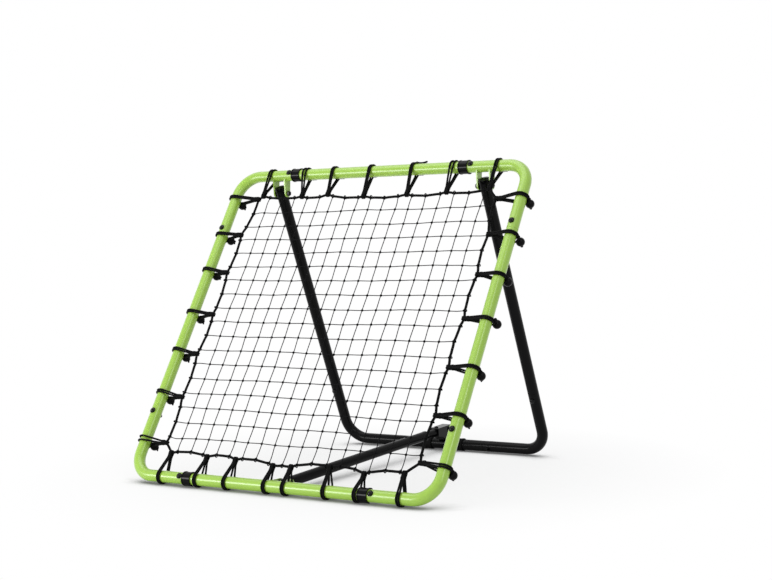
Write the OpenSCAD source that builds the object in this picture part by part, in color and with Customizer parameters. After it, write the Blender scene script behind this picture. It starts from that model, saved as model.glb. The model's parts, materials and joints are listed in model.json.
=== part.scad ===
// Pitch back rebounder: a square tube frame with an elastic-hung net leans back on a hinged tube support.
// A telescopic strut, pinned behind the bottom rail, hooks over the support's foot bar and sets the lean.
// Millimetres. +Z is up, the net faces -Y, X runs along the rails. Z = 0 is the ground.

/* [Frame] */
// Outer width and height of the square front frame
frame_size = 1000; // [800:10:1200]
// Outer diameter of the frame and support tube
rail_d = 32; // [28:1:38]
// Wall of the steel tubes
tube_wall = 1.5; // [1:0.1:2]
// Centreline radius of the tube bends
bend_r = 65; // [55:1:90]
// Lean of the frame back from upright, in degrees
frame_lean = 32.7; // [20:0.1:40]
// Distance of a tube joint from the corner's other centreline
joint_arm = 204; // [180:1:240]
// Distance of a side joint bolt from the corner's other centreline
side_bolt_arm = 185; // [160:1:195]
// Distance of a top or bottom joint bolt from the side rail's centreline
rail_bolt_arm = 177; // [160:1:190]
// Length of the reduced end that slides into the next tube
spigot_len = 45; // [30:1:60]

/* [Net] */
// Mesh of the net
mesh = 45; // [38:1:60]
// Threads of the net each way
threads = 17; // [9:1:17]
// Width and thickness of a net thread
thread_w = 2.4; // [1.5:0.1:3]
// Diameter of the rope along the net's border
rope_d = 6; // [4:0.5:8]
// How far the rope curves in between two knots
rope_sag = 7; // [3:0.5:12]

/* [Bungees] */
// Diameter of an elastic strand
strand_d = 4.8; // [3:0.2:4.8]
// Spacing of the two strands of one loop
strand_gap = 5.5; // [5.5:0.1:8]
// Diameter of a bungee ball
ball_d = 22; // [18:1:26]
// Bungee positions along the top rail
top_hits = [-373, -249, -149, -21, 120, 250, 389];
// Bungee positions along the bottom rail
bottom_hits = [-379, -250, -154, -28, 42, 161, 260, 388];
// Bungee positions up the left rail
left_hits = [101, 246, 379, 502, 642, 762, 890];
// Bungee positions up the right rail
right_hits = [87, 225, 357, 495, 624, 748, 865];
// Rope knots under the top rail, along it and up
top_knots = [[-384, 898], [-242, 892], [-151, 896], [-24, 885], [120, 886], [247, 889], [380, 894]];
// Rope knots over the bottom rail
bottom_knots = [[-377, 70], [-250, 67], [-152, 66], [-25, 57], [33, 58], [155, 67], [261, 56], [377, 66]];
// Rope knots beside the left rail
left_knots = [[-407, 98], [-412, 238], [-416, 373], [-411, 500], [-416, 638], [-415, 765], [-398, 888]];
// Rope knots beside the right rail
right_knots = [[413, 96], [417, 225], [414, 359], [418, 499], [420, 629], [418, 751], [410, 862]];

/* [Clips and bolts] */
// Width of a plastic rail clip
clip_w = 28; // [20:1:28]
// Centre of a clip from the joint bolt beside it
clip_off = 24; // [24:0.5:30]
// Thickness of a clip's band
clip_t = 2.5; // [2:0.1:4]
// Diameter of the joint bolts
bolt_d = 6; // [5:0.5:8]
// Diameter of a joint bolt's domed head
head_d = 16.4; // [12:0.2:18]
// Diameter of the hinge and pivot bolts
pin_d = 8; // [6:0.5:10]

/* [Hinge] */
// Centreline of the support legs from the middle
leg_x = 345; // [300:1:380]
// Hinge axis below the top rail's centreline, along the frame
hinge_drop = 43.6; // [38:0.5:60]
// Hinge axis behind the frame's plane
hinge_back = 28.7; // [26:0.5:40]
// Thickness of every bracket plate
ear_t = 4; // [3:0.5:6]

/* [Support] */
// Lean of the support legs, in degrees
leg_lean = 22.9; // [18:0.1:28]
// Tube joint on the leg, from the bar's axis
leg_joint = 192; // [180:1:230]
// Tube joint on the bar, from its middle
bar_joint = 141; // [110:1:180]
// Outer diameter of the foot collars
collar_d = 38; // [36:1:46]
// Near and far ends of a collar from the bar's middle
collar_x = [38, 70];

/* [Strut] */
// Pivot above the bottom rail's centreline, along the frame
pivot_up = 28; // [24:1:40]
// Pivot behind the frame's plane
pivot_back = 41; // [38:1:55]
// Outer diameter of the strut's outer tube
strut_d = 28; // [25:1:32]
// Outer diameter of the strut's inner tube
inner_d = 22.8; // [18:0.1:23]
// Length of inner tube showing between the outer tube and the hook, with the strut closed
inner_shown = 53; // [20:1:100]
// Start of the inner tube from the pivot, with the strut closed
inner_start = 100; // [60:1:140]
// Height of the strut's axis above the foot bar's axis at the hook
hook_rise = 42; // [38:0.5:50]
// Width of the hook
hook_w = 30; // [24:1:40]
// Free play behind the bar inside the hook
hook_play = 6.7; // [6:0.1:12]

/* [Hidden] */
$fn = 64;
gap = 0.3;
run = 0.05;
seam = 0.8;
green = [0.56, 0.8, 0.25];
black = [0.07, 0.07, 0.08];
rail_r = rail_d / 2;
bore_d = rail_d - 2 * tube_wall;
spigot_d = bore_d - 2 * gap;
half = (frame_size - rail_d) / 2;
side_h = 2 * half;
grow = side_h / 968;
bolt_r = bolt_d / 2;
bolt_hole = bolt_d + 2 * gap;
pin_r = pin_d / 2;
pin_hole = pin_d + 2 * run;
strand_r = strand_d / 2;
ball_r = ball_d / 2;
wrap_r = rail_r + gap + strand_r;
// Ground clearance: the frame stands on the strands under its bottom rail
rail_z = wrap_r + strand_r;
bar_z = collar_d / 2;
// Side profile of the stand, [distance back, height] from the bottom rail's line on the ground
function side_point(up, back) = [up * sin(frame_lean) + back * cos(frame_lean),
  rail_z + up * cos(frame_lean) - back * sin(frame_lean)];
hinge_p = side_point(side_h - hinge_drop, hinge_back);
pivot_p = side_point(pivot_up, pivot_back);
leg_len = (hinge_p[1] - bar_z) / cos(leg_lean);
bar_p = [hinge_p[0] + leg_len * sin(leg_lean), bar_z];
reach = norm(bar_p - pivot_p);
strut_tilt = atan2(bar_p[1] - pivot_p[1], bar_p[0] - pivot_p[0]) + asin(hook_rise / reach);
hook_s = sqrt(reach * reach - hook_rise * hook_rise);
// The hook round the bar: its arm's outside behind the bar's axis, the end of the arm below the strut's
// axis, and the chamfer there. They place the part's middle over the origin.
hook_r = rail_r + 0.5;
hook_back = hook_play + hook_r + 23.8;
hook_end = hook_rise + rail_r + 2;
hook_cut = 6;
back_y = pivot_p[0] + (hook_s + hook_back) * cos(strut_tilt) + (hook_end - hook_cut) * sin(strut_tilt);
mid_y = (back_y - rail_z) / 2;

module on_frame() {
  translate([0, -mid_y, rail_z])
    rotate([90 - frame_lean, 0, 0])
      children();
}

module on_support() {
  translate([0, bar_p[0] - mid_y, bar_p[1]])
    rotate([90 + leg_lean, 0, 0])
      children();
}

module on_strut() {
  translate([0, pivot_p[0] - mid_y, pivot_p[1]])
    rotate([strut_tilt, 0, 0])
      rotate([0, 0, 90])
        children();
}

module on_hinge() {
  translate([0, hinge_p[0] - mid_y, hinge_p[1]])
    children();
}

// A plate of thickness t, its outline drawn as [up the frame, forward], centred on x
module plate_at(x, t) {
  translate([x - t / 2, 0, 0])
    rotate([90, 0, 90])
      linear_extrude(t)
        children();
}

module ring_tube(d, wall, l) {
  difference() {
    cylinder(d = d, h = l, center = true);
    cylinder(d = d - 2 * wall, h = l + 2, center = true);
  }
}

// A straight tube along X with both ends reduced to slide into the next tubes, and a fine groove at each joint
module swaged_x(l) {
  rotate([0, 90, 0])
    difference() {
      union() {
        cylinder(d = rail_d, h = l - 2 * seam, center = true);
        cylinder(d = rail_d - 1, h = l, center = true);
        cylinder(d = spigot_d, h = l + 2 * spigot_len, center = true);
      }
      cylinder(d = bore_d, h = l - 16, center = true);
      cylinder(d = spigot_d - 2 * tube_wall, h = l + 2 * spigot_len + 2, center = true);
    }
}

// A quarter bend in the plane Z = 0, from +X round to +Y about the origin
module bend() {
  rotate_extrude(angle = 90)
    translate([bend_r, 0])
      difference() {
        circle(d = rail_d);
        circle(d = bore_d);
      }
}

// A hole or shaft along Z through the point p
module along_z(p, d, l) {
  translate(p)
    cylinder(d = d, h = l, center = true);
}

// ---- front frame ----

rail_half = half - joint_arm;
arm_l = joint_arm - bend_r;
rail_bolt_x = half - rail_bolt_arm;

module rail_holes(v) {
  for (s = [-1, 1])
    along_z([s * rail_bolt_x, v, 0], bolt_hole, 2 * rail_d);
}

module side_holes(s) {
  for (v = [side_bolt_arm, side_h - side_bolt_arm])
    along_z([s * half, v, 0], bolt_hole, 2 * rail_d);
}

module top_rail() {
  color(green)
    on_frame()
      difference() {
        translate([0, side_h, 0])
          swaged_x(2 * rail_half);
        rail_holes(side_h);
      }
}

module bottom_rail() {
  color(green)
    on_frame()
      difference() {
        swaged_x(2 * rail_half);
        rail_holes(0);
      }
}

module side_rail(s) {
  color(green)
    on_frame()
      difference() {
        translate([s * half, half, 0])
          rotate([0, 0, 90])
            swaged_x(side_h - 2 * joint_arm);
        side_holes(s);
      }
}

module side_rail_left() {
  side_rail(-1);
}

module side_rail_right() {
  side_rail(1);
}

// s is the side, t is -1 at the bottom and 1 at the top
module corner(s, t) {
  v0 = t > 0 ? side_h : 0;
  turn = t > 0 ? (s > 0 ? 0 : 90) : (s > 0 ? 270 : 180);
  color(green)
    on_frame()
      difference() {
        union() {
          translate([s * (half - bend_r), v0 - t * bend_r, 0])
            rotate([0, 0, turn])
              bend();
          translate([s * half, v0 - t * (bend_r + arm_l / 2), 0])
            rotate([90, 0, 0])
              ring_tube(rail_d, tube_wall, arm_l);
          translate([s * (half - bend_r - arm_l / 2), v0, 0])
            rotate([0, 90, 0])
              ring_tube(rail_d, tube_wall, arm_l);
        }
        along_z([s * half, v0 - t * side_bolt_arm, 0], bolt_hole, 2 * rail_d);
        along_z([s * rail_bolt_x, v0, 0], bolt_hole, 2 * rail_d);
      }
}

module corner_top_left() {
  corner(-1, 1);
}

module corner_top_right() {
  corner(1, 1);
}

module corner_bottom_left() {
  corner(-1, -1);
}

module corner_bottom_right() {
  corner(1, -1);
}

// The outline between two circles, tangent to both
module web(p, rp, q, rq) {
  d = norm(q - p);
  th = atan2(q[1] - p[1], q[0] - p[0]);
  ph = acos((rp - rq) / d);
  polygon([
    p + rp * [cos(th + ph), sin(th + ph)],
    q + rq * [cos(th + ph), sin(th + ph)],
    q + rq * [cos(th - ph), sin(th - ph)],
    p + rp * [cos(th - ph), sin(th - ph)]
  ]);
}

// A bracket plate from the rail at p, cut to sit round the tube, out to the bolt at q
module ear(p, q, rp, rq) {
  difference() {
    union() {
      web(p, rp, q, rq);
      translate(q)
        circle(r = rq);
    }
    translate(p)
      circle(r = rail_r + gap);
    translate(q)
      circle(d = pin_hole);
  }
}

ear_off = rail_r + 2 + ear_t / 2;
hinge_2d = [side_h - hinge_drop, -hinge_back];
pivot_2d = [pivot_up, -pivot_back];

module hinge_bracket(s) {
  color(green)
    on_frame()
      for (k = [-1, 1])
        plate_at(s * leg_x + k * ear_off, ear_t)
          ear([side_h, 0], hinge_2d, rail_r - 1.5, pin_r + 7);
}

module hinge_bracket_left() {
  hinge_bracket(-1);
}

module hinge_bracket_right() {
  hinge_bracket(1);
}

strut_ear = strut_d / 2 + 1.5 + ear_t / 2;

module strut_bracket() {
  color(green)
    on_frame()
      for (k = [-1, 1])
        plate_at(k * strut_ear, ear_t)
          ear([0, 0], pivot_2d, rail_r - 2, pin_r + 8);
}

// A domed bolt along -Z: the head sits on Z = seat, the shank ends at Z = tip
module dome_bolt(d, head, seat, tip) {
  translate([0, 0, tip])
    cylinder(d = d, h = seat - tip + 1);
  translate([0, 0, seat])
    cylinder(d = head, h = 1.2);
  intersection() {
    translate([0, 0, seat + 0.9 - 0.27 * head])
      sphere(r = 0.55 * head);
    translate([0, 0, seat + 1])
      cylinder(r = 0.44 * head, h = head);
  }
}

module hex_nut(d, seat) {
  translate([0, 0, seat - 0.8 * d])
    difference() {
      cylinder(r = 0.95 * d, h = 0.8 * d, $fn = 6);
      translate([0, 0, -1])
        cylinder(r = d / 2 + gap, h = d + 2);
    }
}

module at_frame_bolts() {
  on_frame() {
    for (s = [-1, 1]) {
      for (v = [side_bolt_arm, side_h - side_bolt_arm])
        translate([s * half, v, 0])
          children();
      for (v = [0, side_h])
        translate([s * rail_bolt_x, v, 0])
          children();
    }
  }
}

bolt_tip = -(rail_r + gap + 0.8 * bolt_d + 3);

module frame_bolts() {
  color(black)
    at_frame_bolts()
      dome_bolt(bolt_d, head_d, rail_r + gap, bolt_tip);
}

module frame_nuts() {
  color(black)
    at_frame_bolts()
      hex_nut(bolt_d, -(rail_r + gap));
}

// Outline of a split band on the rail: r1 is its outside, and its ends turn out into round lips
module clip_outline(r1) {
  r0 = rail_r + gap;
  lip_r = clip_t / 2 + 0.4;
  open = 45;
  difference() {
    circle(r = r1);
    circle(r = r0);
    rotate([0, 0, -open])
      square(3 * rail_d);
  }
  for (a = [-open, 90 - open])
    rotate([0, 0, a])
      translate([r0 + lip_r + 0.05, 0])
        circle(r = lip_r);
}

// A clip along Z: a band open towards +X
module clip_band(r1, a, b) {
  translate([0, 0, a])
    linear_extrude(b - a)
      clip_outline(r1);
}

// One clip, with a raised rim at both ends
module rail_clip(s, v) {
  r1 = rail_r + gap + clip_t;
  rim = 3;
  translate([s * (rail_bolt_x - clip_off), v, 0])
    rotate([v > 0 ? 25 : -25, 0, 0])
      rotate([0, 90, 0]) {
        clip_band(r1, -clip_w / 2, clip_w / 2);
        for (k = [-1, 1])
          clip_band(r1 + 1, k * (clip_w - rim) / 2 - rim / 2, k * (clip_w - rim) / 2 + rim / 2);
      }
}

module rail_clips() {
  color(black)
    on_frame()
      for (s = [-1, 1])
        for (v = [0, side_h])
          rail_clip(s, v);
}

// ---- net, rope and bungees ----

function scaled(list) = [for (k = list) k * grow];
rope_r = rope_d / 2;
knot_r = rope_r + 1.7;
// At a tie the strands lie two by two: half their spacing across the net, and the knot round all four
tie_z = strand_r + 0.1;
tie_r = norm([strand_gap / 2, tie_z]) + strand_r + 0.3;
// The bead that joins a strand to its bend, and how far both stop from the bead's middle
bead_r = strand_r + 0.3;
bead_gap = 0.6;
ring_knots = scaled(concat(bottom_knots, right_knots,
  [for (i = [len(top_knots) - 1:-1:0]) top_knots[i]],
  [for (i = [len(left_knots) - 1:-1:0]) left_knots[i]]));
n_knots = len(ring_knots);
function knot(i) = ring_knots[i % n_knots];
// The rope runs straight across the corners and sags in elsewhere
function span_sag(i) = norm(knot(i + 1) - knot(i)) > 60 ? rope_sag : 0.6;
function left_of(d) = [-d[1], d[0]] / norm(d);

// A length of rope from a to b, bowed to the left of its way by sag
module rope_span(a, b, sag) {
  c = norm(b - a);
  r = (c * c / 4 + sag * sag) / (2 * sag);
  m = (a + b) / 2 - left_of(b - a) * (r - sag);
  translate([m[0], m[1], 0])
    rotate([0, 0, atan2(b[1] - m[1], b[0] - m[0])])
      rotate_extrude(angle = 2 * asin(c / (2 * r)))
        translate([r, 0])
          circle(d = rope_d);
}

module net_border_rope() {
  color([0.1, 0.1, 0.1])
    on_frame()
      for (i = [0:n_knots - 1]) {
        rope_span(knot(i), knot(i + 1), span_sag(i));
        out = left_of(knot(i + n_knots - 1) - knot(i + 1));
        translate([knot(i)[0], knot(i)[1], 0])
          rotate([0, 0, atan2(out[1], out[0])])
            sphere(r = knot_r);
      }
}

inset = rope_r + 3;
net_edge = [for (i = [0:n_knots - 1], k = [0, 1])
  let (a = knot(i), b = knot(i + 1), n = left_of(b - a), p = left_of(a - knot(i + n_knots - 1)))
  k == 0 ? a + (n + p) / norm(n + p) * inset
    : (a + b) / 2 + n * (inset + span_sag(i))];

module net() {
  pitch = mesh * grow;
  color([0.12, 0.12, 0.12])
    on_frame()
      linear_extrude(thread_w, center = true)
        intersection() {
          polygon(net_edge);
          translate([4 * grow, 477 * grow])
            for (i = [0:threads - 1]) {
              translate([(i - (threads - 1) / 2) * pitch, 0])
                square([thread_w, 2 * half], center = true);
              translate([0, (i - (threads - 1) / 2) * pitch])
                square([2 * half, thread_w], center = true);
            }
        }
}

// A straight strand from a towards b, ending short of it
module strand(a, b, r, short) {
  d = b - a;
  l = norm(d);
  translate(a)
    rotate([0, acos(d[2] / l), atan2(d[1], d[0])])
      cylinder(r = r, h = l - short);
}

// One bungee on a rail along X with its net on the -Y side and its ball behind.
// hit: where it crosses the rail; kx, ky: the net's knot; bx: the ball.
module bungee(hit, kx, ky, bx, by, bz) {
  k = [kx, ky + knot_r + tie_r + gap, 0];
  t = acos(wrap_r / -k[1]);
  stop = atan2(bz, by) + 28;
  ball = [bx, by, bz];
  translate(k)
    sphere(r = tie_r);
  for (s = [-1, 1]) {
    aside = [s * strand_gap / 2, 0, 0];
    touch = [hit, -wrap_r * cos(t), wrap_r * sin(t)] + aside;
    strand(k + aside + [0, 0, tie_z], touch, strand_r, bead_gap);
    translate(touch)
      sphere(r = bead_r);
    translate([touch[0], 0, 0])
      rotate([90, 0, 90])
        rotate([0, 0, stop])
          rotate_extrude(angle = 180 - t - stop - bead_gap / wrap_r * 180 / PI)
            translate([wrap_r, 0])
              circle(r = strand_r);
    strand(k + aside - [0, 0, tie_z], ball + aside, strand_r - 0.2, ball_r + gap);
  }
}

module ball_at(bx, by, bz) {
  translate([bx, by, bz])
    sphere(r = ball_r);
}

// Ball places [outward, back] for each rail
top_ball = [12, -(rail_r + ball_r - 1)];
bottom_ball = [-14, -(rail_r + ball_r - 3)];
side_ball = [3, -(rail_r + ball_r + 1)];
function ball_shift(x) = abs(x) < 30 ? -11 : 0;

module on_rail(side) {
  on_frame()
    translate([side == "left" ? -half : side == "right" ? half : 0, side == "top" ? side_h : 0, 0])
      rotate([0, 0, side == "top" ? 0 : side == "bottom" ? 180 : side == "left" ? 90 : -90])
        children();
}

module bungees_top() {
  color(black)
    on_rail("top")
      for (i = [0:len(top_hits) - 1]) {
        x = top_hits[i] * grow;
        kn = top_knots[i] * grow;
        bungee(x, kn[0], kn[1] - side_h, x + ball_shift(x), top_ball[0], top_ball[1]);
      }
}

module balls_top() {
  color(black)
    on_rail("top")
      for (h = top_hits)
        ball_at(h * grow + ball_shift(h), top_ball[0], top_ball[1]);
}

module bungees_bottom() {
  color(black)
    on_rail("bottom")
      for (i = [0:len(bottom_hits) - 1]) {
        x = bottom_hits[i] * grow;
        kn = bottom_knots[i] * grow;
        bungee(-x, -kn[0], -kn[1], -x - ball_shift(x), bottom_ball[0], bottom_ball[1]);
      }
}

module balls_bottom() {
  color(black)
    on_rail("bottom")
      for (h = bottom_hits)
        ball_at(-h * grow - ball_shift(h), bottom_ball[0], bottom_ball[1]);
}

module bungees_left() {
  color(black)
    on_rail("left")
      for (i = [0:len(left_hits) - 1]) {
        y = left_hits[i] * grow;
        kn = left_knots[i] * grow;
        bungee(y, kn[1], -(kn[0] + half), y - 4, side_ball[0], side_ball[1]);
      }
}

module balls_left() {
  color(black)
    on_rail("left")
      for (h = left_hits)
        ball_at(h * grow - 4, side_ball[0], side_ball[1]);
}

module bungees_right() {
  color(black)
    on_rail("right")
      for (i = [0:len(right_hits) - 1]) {
        y = right_hits[i] * grow;
        kn = right_knots[i] * grow;
        bungee(-y, -kn[1], kn[0] - half, -y + 4, side_ball[0], side_ball[1]);
      }
}

module balls_right() {
  color(black)
    on_rail("right")
      for (h = right_hits)
        ball_at(-h * grow + 4, side_ball[0], side_ball[1]);
}

// ---- hinges ----

hinge_seat = ear_off + ear_t / 2 + gap;

module at_hinges() {
  on_hinge()
    for (s = [-1, 1])
      translate([s * leg_x, 0, 0])
        rotate([0, s * 90, 0])
          children();
}

module hinge_bolts() {
  color(black)
    at_hinges()
      dome_bolt(pin_d, 2 * pin_d, hinge_seat, -(hinge_seat + 0.8 * pin_d + 2));
}

module hinge_nuts() {
  color(black)
    at_hinges()
      hex_nut(pin_d, -hinge_seat);
}

module hinge_washers() {
  color(black)
    at_hinges()
      for (k = [-1, 1])
        translate([0, 0, k * (rail_r + 1)])
          difference() {
            cylinder(r = pin_r + 5, h = 2 - 2 * gap, center = true);
            cylinder(r = pin_r + gap, h = 4, center = true);
          }
}

// ---- support ----

leg_end = leg_len + pin_r + 13;
leg_bolt = leg_joint - 20;
bar_bolt = bar_joint + 17;

module leg_holes(s) {
  along_z([s * leg_x, leg_bolt, 0], bolt_hole, 2 * rail_d);
}

module bar_holes(s) {
  along_z([s * bar_bolt, 0, 0], bolt_hole, 2 * rail_d);
}

module support_leg(s) {
  color(black)
    on_support()
      difference() {
        union() {
          translate([s * leg_x, (leg_joint + seam + leg_end) / 2, 0])
            rotate([90, 0, 0])
              ring_tube(rail_d, tube_wall, leg_end - leg_joint - seam);
          translate([s * leg_x, leg_joint - spigot_len / 2 + 5, 0])
            rotate([90, 0, 0])
              difference() {
                cylinder(d = spigot_d, h = spigot_len + 10, center = true);
                cylinder(d = spigot_d - 2 * tube_wall, h = spigot_len + 12, center = true);
              }
          translate([s * leg_x, leg_joint + 5, 0])
            rotate([90, 0, 0])
              ring_tube(rail_d - 1, (rail_d - bore_d + 2) / 2, 10);
        }
        leg_holes(s);
        translate([s * leg_x, leg_len, 0])
          rotate([0, 90, 0])
            cylinder(d = pin_hole, h = 2 * rail_d, center = true);
      }
}

module support_leg_left() {
  support_leg(-1);
}

module support_leg_right() {
  support_leg(1);
}

module support_corner(s) {
  leg_arm = leg_joint - bend_r;
  bar_arm = leg_x - bend_r - bar_joint;
  color(black)
    on_support()
      difference() {
        union() {
          translate([s * (leg_x - bend_r), bend_r, 0])
            rotate([0, 0, s > 0 ? 270 : 180])
              bend();
          translate([s * leg_x, bend_r + leg_arm / 2, 0])
            rotate([90, 0, 0])
              ring_tube(rail_d, tube_wall, leg_arm);
          translate([s * (bar_joint + bar_arm / 2), 0, 0])
            rotate([0, 90, 0])
              ring_tube(rail_d, tube_wall, bar_arm);
        }
        leg_holes(s);
        bar_holes(s);
      }
}

module support_corner_left() {
  support_corner(-1);
}

module support_corner_right() {
  support_corner(1);
}

module support_bar() {
  color(black)
    on_support()
      difference() {
        swaged_x(2 * bar_joint);
        bar_holes(-1);
        bar_holes(1);
      }
}

module leg_end_caps() {
  color(black)
    on_support()
      for (s = [-1, 1])
        translate([s * leg_x, leg_end, 0])
          rotate([-90, 0, 0]) {
            translate([0, 0, gap])
              cylinder(d = rail_d, h = 3);
            translate([0, 0, -6])
              cylinder(d = spigot_d, h = 7);
            intersection() {
              translate([0, 0, gap + 6 - 1.25 * rail_d])
                sphere(r = 1.25 * rail_d);
              translate([0, 0, 1])
                cylinder(d = rail_d - 2, h = 10);
            }
          }
}

module at_support_bolts() {
  on_support()
    for (s = [-1, 1]) {
      translate([s * leg_x, leg_bolt, 0])
        children();
      translate([s * bar_bolt, 0, 0])
        rotate([180, 0, 0])
          children();
    }
}

module support_bolts() {
  color(black)
    at_support_bolts()
      dome_bolt(bolt_d, head_d, rail_r + gap, bolt_tip);
}

module support_nuts() {
  color(black)
    at_support_bolts()
      hex_nut(bolt_d, -(rail_r + gap));
}

module bar_collars() {
  color(black)
    on_support()
      for (s = [-1, 1])
        translate([s * (collar_x[0] + collar_x[1]) / 2, 0, 0])
          rotate([0, 90, 0])
            difference() {
              union() {
                cylinder(d = collar_d - 1.5, h = collar_x[1] - collar_x[0], center = true);
                for (k = [-1, 1])
                  translate([0, 0, k * ((collar_x[1] - collar_x[0]) / 2 - 4)])
                    cylinder(d = collar_d, h = 5, center = true);
              }
              cylinder(r = rail_r + gap, h = 100, center = true);
            }
}

// ---- strut ----

mouth_l = 6;
tail = strut_d / 2;
hook_front = hook_s - 55;
outer_len = hook_front - inner_shown - mouth_l;
inner_end = hook_s - 22;

module x_tube(d, wall, a, b) {
  translate([(a + b) / 2, 0, 0])
    rotate([0, 90, 0])
      ring_tube(d, wall, b - a);
}

module strut_outer_tube() {
  color(black)
    on_strut()
      difference() {
        x_tube(strut_d, tube_wall, -tail, outer_len);
        rotate([90, 0, 0])
          cylinder(d = pin_hole, h = 2 * strut_d, center = true);
      }
}

module strut_end_plug() {
  color(black)
    on_strut()
      translate([-tail, 0, 0])
        rotate([0, -90, 0]) {
          translate([0, 0, gap])
            cylinder(d = strut_d, h = 2);
          translate([0, 0, -6])
            cylinder(d = strut_d - 2 * tube_wall - 2 * gap, h = 7);
          intersection() {
            translate([0, 0, gap + 5 - strut_d])
              sphere(r = strut_d);
            translate([0, 0, 1])
              cylinder(d = strut_d - 2, h = 10);
          }
        }
}

module strut_mouth_bush() {
  color(black)
    on_strut()
      translate([outer_len, 0, 0])
        rotate([0, 90, 0])
          difference() {
            union() {
              translate([0, 0, gap])
                cylinder(d = strut_d + 1, h = mouth_l);
              translate([0, 0, -30])
                cylinder(d = strut_d - 2 * tube_wall - 2 * gap, h = 31);
            }
            translate([0, 0, -40])
              cylinder(r = inner_d / 2 + 0.08, h = 60);
          }
}

hook_bolt_s = hook_s - 43;

module hook_bolt_hole(d) {
  translate([hook_bolt_s, 0, 0])
    cylinder(d = d, h = 60, center = true);
}

module strut_inner_tube() {
  color(black)
    on_strut()
      difference() {
        x_tube(inner_d, tube_wall, inner_start, inner_end);
        hook_bolt_hole(5 + 2 * gap);
      }
}

// The hook's side outline as [along the strut, up from its axis]; c is the bar's axis
module hook_outline() {
  c = [hook_s, -hook_rise];
  roof = c[1] + hook_r;
  rear = c[0] + hook_play + hook_r;
  difference() {
    polygon([
      [hook_front, -strut_d / 2],
      [hook_front, strut_d / 2 - 2],
      [hook_front + 2, strut_d / 2],
      [hook_s + 18, strut_d / 2],
      [hook_s + hook_back, hook_cut - hook_end],
      [hook_s + hook_back - 5, -hook_end],
      [rear, -hook_end],
      [rear, c[1]],
      [c[0] + hook_play, c[1]],
      [c[0] + hook_play, roof],
      [c[0] - 24, roof],
      [c[0] - 36, -strut_d / 2]
    ]);
    translate([c[0] + hook_play, c[1]])
      circle(r = hook_r);
  }
}

module hook_pocket() {
  top = strut_d / 2 - 5;
  floor_y = hook_r + 5 - hook_rise;
  arm = hook_play + hook_r + 4.5;
  translate([hook_s, 0])
    polygon([
      [-5, floor_y],
      [-5, top],
      [15, top],
      [hook_back - 6.5, 9 - hook_end],
      [arm + 0.5, hook_cut - hook_end],
      [arm, -hook_rise],
      [arm - 6, floor_y - 6.5],
      [hook_play + 3, floor_y]
    ]);
}

module strut_hook() {
  color(black)
    on_strut()
      difference() {
        rotate([90, 0, 0])
          linear_extrude(hook_w, center = true)
            hook_outline();
        translate([hook_front - 1, 0, 0])
          rotate([0, 90, 0])
            cylinder(r = inner_d / 2 + gap, h = inner_end - hook_front + 2);
        for (k = [-1, 1])
          translate([0, k * (hook_w / 2 - 4), 0])
            rotate([90, 0, 0])
              linear_extrude(10, center = true)
                hook_pocket();
        hook_bolt_hole(5 + 2 * gap);
      }
}

module strut_hook_bolt() {
  color(black)
    on_strut()
      translate([hook_bolt_s, 0, 0])
        dome_bolt(5, 12.5, strut_d / 2 + gap, -(strut_d / 2 + gap + 6));
}

module strut_hook_nut() {
  color(black)
    on_strut()
      translate([hook_bolt_s, 0, 0])
        hex_nut(5, -(strut_d / 2 + gap));
}

pivot_seat = strut_ear + ear_t / 2 + gap;

module strut_pivot_bolt() {
  color(black)
    on_strut()
      rotate([90, 0, 0])
        dome_bolt(pin_d, 2 * pin_d, pivot_seat, -(pivot_seat + 0.8 * pin_d + 2));
}

module strut_pivot_nut() {
  color(black)
    on_strut()
      rotate([90, 0, 0])
        hex_nut(pin_d, -pivot_seat);
}

top_rail();
bottom_rail();
side_rail_left();
side_rail_right();
corner_top_left();
corner_top_right();
corner_bottom_left();
corner_bottom_right();
hinge_bracket_left();
hinge_bracket_right();
strut_bracket();
frame_bolts();
frame_nuts();
rail_clips();
net();
net_border_rope();
bungees_top();
bungees_bottom();
bungees_left();
bungees_right();
balls_top();
balls_bottom();
balls_left();
balls_right();
hinge_bolts();
hinge_nuts();
hinge_washers();
support_leg_left();
support_leg_right();
support_corner_left();
support_corner_right();
support_bar();
leg_end_caps();
support_bolts();
support_nuts();
bar_collars();
strut_pivot_bolt();
strut_pivot_nut();
strut_outer_tube();
strut_end_plug();
strut_mouth_bush();
strut_inner_tube();
strut_hook();
strut_hook_bolt();
strut_hook_nut();
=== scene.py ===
import json
import math
import random

import bpy
from mathutils import Matrix, Vector


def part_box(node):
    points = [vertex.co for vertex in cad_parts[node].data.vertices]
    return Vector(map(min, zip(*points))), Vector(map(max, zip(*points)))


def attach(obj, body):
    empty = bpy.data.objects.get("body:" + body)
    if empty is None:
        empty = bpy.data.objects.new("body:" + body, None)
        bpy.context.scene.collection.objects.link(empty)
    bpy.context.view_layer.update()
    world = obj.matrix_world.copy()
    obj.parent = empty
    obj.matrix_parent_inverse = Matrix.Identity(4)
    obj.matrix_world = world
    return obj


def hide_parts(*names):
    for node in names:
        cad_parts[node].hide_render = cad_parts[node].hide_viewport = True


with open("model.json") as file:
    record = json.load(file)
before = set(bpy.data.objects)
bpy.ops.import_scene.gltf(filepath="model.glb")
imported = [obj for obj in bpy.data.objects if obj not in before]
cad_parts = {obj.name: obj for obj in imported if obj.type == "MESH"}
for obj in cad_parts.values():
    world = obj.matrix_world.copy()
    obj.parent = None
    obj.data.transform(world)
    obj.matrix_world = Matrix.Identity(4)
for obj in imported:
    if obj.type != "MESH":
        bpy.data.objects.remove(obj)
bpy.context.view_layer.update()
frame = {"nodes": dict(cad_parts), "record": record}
nodes = frame["nodes"]
random.seed(7)


# ---- the frame's plane: u along the rails, v up the frame, w forward of it, in metres ----

def middle(node):
    lo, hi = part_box(node)
    return (lo + hi) / 2


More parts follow.
